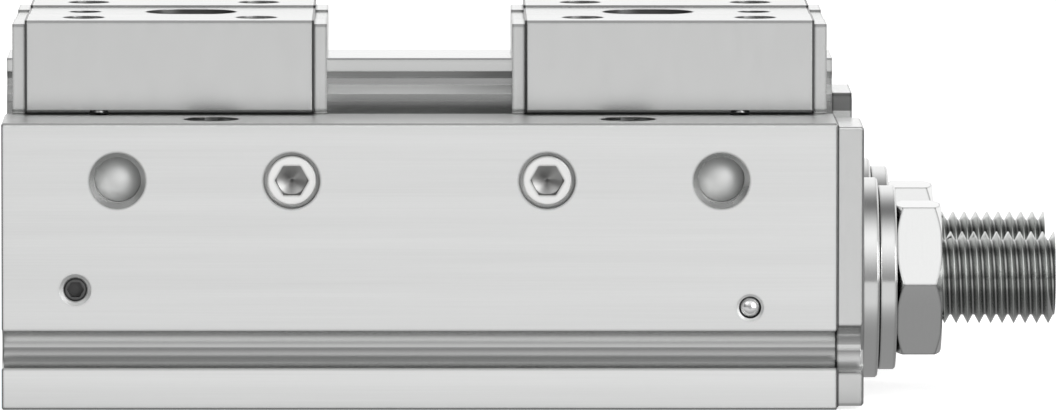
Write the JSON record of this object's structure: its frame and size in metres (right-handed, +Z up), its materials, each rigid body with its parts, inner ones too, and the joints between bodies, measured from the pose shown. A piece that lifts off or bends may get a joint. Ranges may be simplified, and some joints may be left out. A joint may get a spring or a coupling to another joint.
{
  "type": "parallel gripper",
  "caption": "Long-stroke pneumatic gripper: two jaws on a guide rail, driven by opposed pistons through a rack and pinion, with threaded stroke stops.",
  "frame": {"origin": "middle of the housing's underside, centred in the 90 by 90 mm base hole pattern", "axes": "+X along the jaw stroke towards the stop studs, -Y to the front face with the port plugs, +Z up to the jaws"},
  "size_m": [0.228, 0.114, 0.0825],
  "materials": {
    "clear_anodised": "satin, fine brushing along the stroke, clear anodised",
    "cap_anodised": "fine milled, clear anodised",
    "jaw_steel": "fine ground steel",
    "plate_steel": "fine ground steel",
    "rail_steel": "hardened, ground steel",
    "turned_steel": "turned and zinc plated steel",
    "stud_steel": "rolled thread, bright steel",
    "plug_steel": "nickel plated",
    "screw_steel": "blackened high-strength steel",
    "spring_steel": "phosphated spring steel",
    "ball_steel": "polished ball",
    "piston_aluminium": "turned and milled",
    "gear_steel": "hardened, tooth flanks ground",
    "bush_bronze": "sintered bronze",
    "black_rubber": "moulded seal rubber",
    "bearing_plastic": "filled bearing strip",
    "magnet_compound": "plastic-bonded magnet"
  },
  "bodies": {
    "housing_unit": {"housing": "clear_anodised", "guide_rail": "rail_steel", "rail_screws": "screw_steel", "end_cap": "cap_anodised", "end_cap_screws": "screw_steel", "end_cap_seals": "black_rubber", "port_plugs": "plug_steel", "grub_screw": "screw_steel", "ball_plugs": "ball_steel", "pinion_bushes": "bush_bronze", "pinion_cover": "clear_anodised", "pinion_cover_clip": "spring_steel", "bore_cover_seals": "black_rubber", "bore_cover_clips": "spring_steel", "front_bore_cover": "clear_anodised", "rear_bore_cover": "clear_anodised", "front_stop_sleeve": "turned_steel", "rear_stop_sleeve": "turned_steel"},
    "pinion_unit": {"pinion": "gear_steel", "pinion_shaft": "gear_steel"},
    "left_jaw_unit": {"jaw_left": "jaw_steel", "outer_plate_left": "plate_steel", "inner_plate_left": "plate_steel", "wipers_left": "black_rubber", "plate_screws_left": "screw_steel", "driver_left": "gear_steel", "driver_screw_left": "screw_steel", "piston_front": "piston_aluminium", "piston_seals_front": "black_rubber", "guide_bands_front": "bearing_plastic", "magnet_front": "magnet_compound"},
    "right_jaw_unit": {"jaw_right": "jaw_steel", "outer_plate_right": "plate_steel", "inner_plate_right": "plate_steel", "wipers_right": "black_rubber", "plate_screws_right": "screw_steel", "driver_right": "gear_steel", "driver_screw_right": "screw_steel", "piston_rear": "piston_aluminium", "piston_seals_rear": "black_rubber", "guide_bands_rear": "bearing_plastic", "magnet_rear": "magnet_compound"},
    "front_bumper_unit": {"front_bumper": "black_rubber"},
    "front_stud_unit": {"front_stop_stud": "stud_steel"},
    "front_washer_unit": {"front_stop_washer": "turned_steel"},
    "front_nut_unit": {"front_lock_nut": "turned_steel"},
    "rear_bumper_unit": {"rear_bumper": "black_rubber"},
    "rear_stud_unit": {"rear_stop_stud": "stud_steel"},
    "rear_washer_unit": {"rear_stop_washer": "turned_steel"},
    "rear_nut_unit": {"rear_lock_nut": "turned_steel"}
  },
  "joints": [
    {"name": "left_jaw_slide", "type": "slide", "parent": "housing_unit", "child": "left_jaw_unit", "axis": [1, 0, 0], "range_m": [0, 0.02]},
    {"name": "right_jaw_slide", "type": "slide", "parent": "housing_unit", "child": "right_jaw_unit", "axis": [-1, 0, 0], "range_m": [0, 0.02]},
    {"name": "pinion_turn", "type": "hinge", "parent": "housing_unit", "child": "pinion_unit", "pos_m": [0, 0, 0.026], "axis": [0, 0, 1], "range_deg": [0, 114.6]},
    {"name": "front_stop_feed", "type": "slide", "parent": "housing_unit", "child": "front_bumper_unit", "axis": [1, 0, 0], "range_m": [-0.0025, 0.0075]},
    {"name": "front_stop_turn", "type": "hinge", "parent": "front_bumper_unit", "child": "front_stud_unit", "pos_m": [0.12, -0.026, 0.026], "axis": [1, 0, 0], "range_deg": [-361, 1081]},
    {"name": "front_nut_feed", "type": "slide", "parent": "housing_unit", "child": "front_washer_unit", "axis": [1, 0, 0], "range_m": [0, 0.0025]},
    {"name": "front_nut_turn", "type": "hinge", "parent": "front_washer_unit", "child": "front_nut_unit", "pos_m": [0.108, -0.026, 0.026], "axis": [1, 0, 0], "range_deg": [0, 361]},
    {"name": "rear_stop_feed", "type": "slide", "parent": "housing_unit", "child": "rear_bumper_unit", "axis": [1, 0, 0], "range_m": [-0.0025, 0.0075]},
    {"name": "rear_stop_turn", "type": "hinge", "parent": "rear_bumper_unit", "child": "rear_stud_unit", "pos_m": [0.12, 0.026, 0.026], "axis": [1, 0, 0], "range_deg": [-361, 1081]},
    {"name": "rear_nut_feed", "type": "slide", "parent": "housing_unit", "child": "rear_washer_unit", "axis": [1, 0, 0], "range_m": [0, 0.0025]},
    {"name": "rear_nut_turn", "type": "hinge", "parent": "rear_washer_unit", "child": "rear_nut_unit", "pos_m": [0.108, 0.026, 0.026], "axis": [1, 0, 0], "range_deg": [0, 361]}
  ],
  "couplings": [
    {"joint": "right_jaw_slide", "follows": "left_jaw_slide", "ratio": 1},
    {"joint": "pinion_turn", "follows": "left_jaw_slide", "rad_per_m": 100},
    {"joint": "front_stop_turn", "follows": "front_stop_feed", "rad_per_m": 2513.3},
    {"joint": "front_nut_turn", "follows": "front_nut_feed", "rad_per_m": 2513.3},
    {"joint": "rear_stop_turn", "follows": "rear_stop_feed", "rad_per_m": 2513.3},
    {"joint": "rear_nut_turn", "follows": "rear_nut_feed", "rad_per_m": 2513.3}
  ]
}
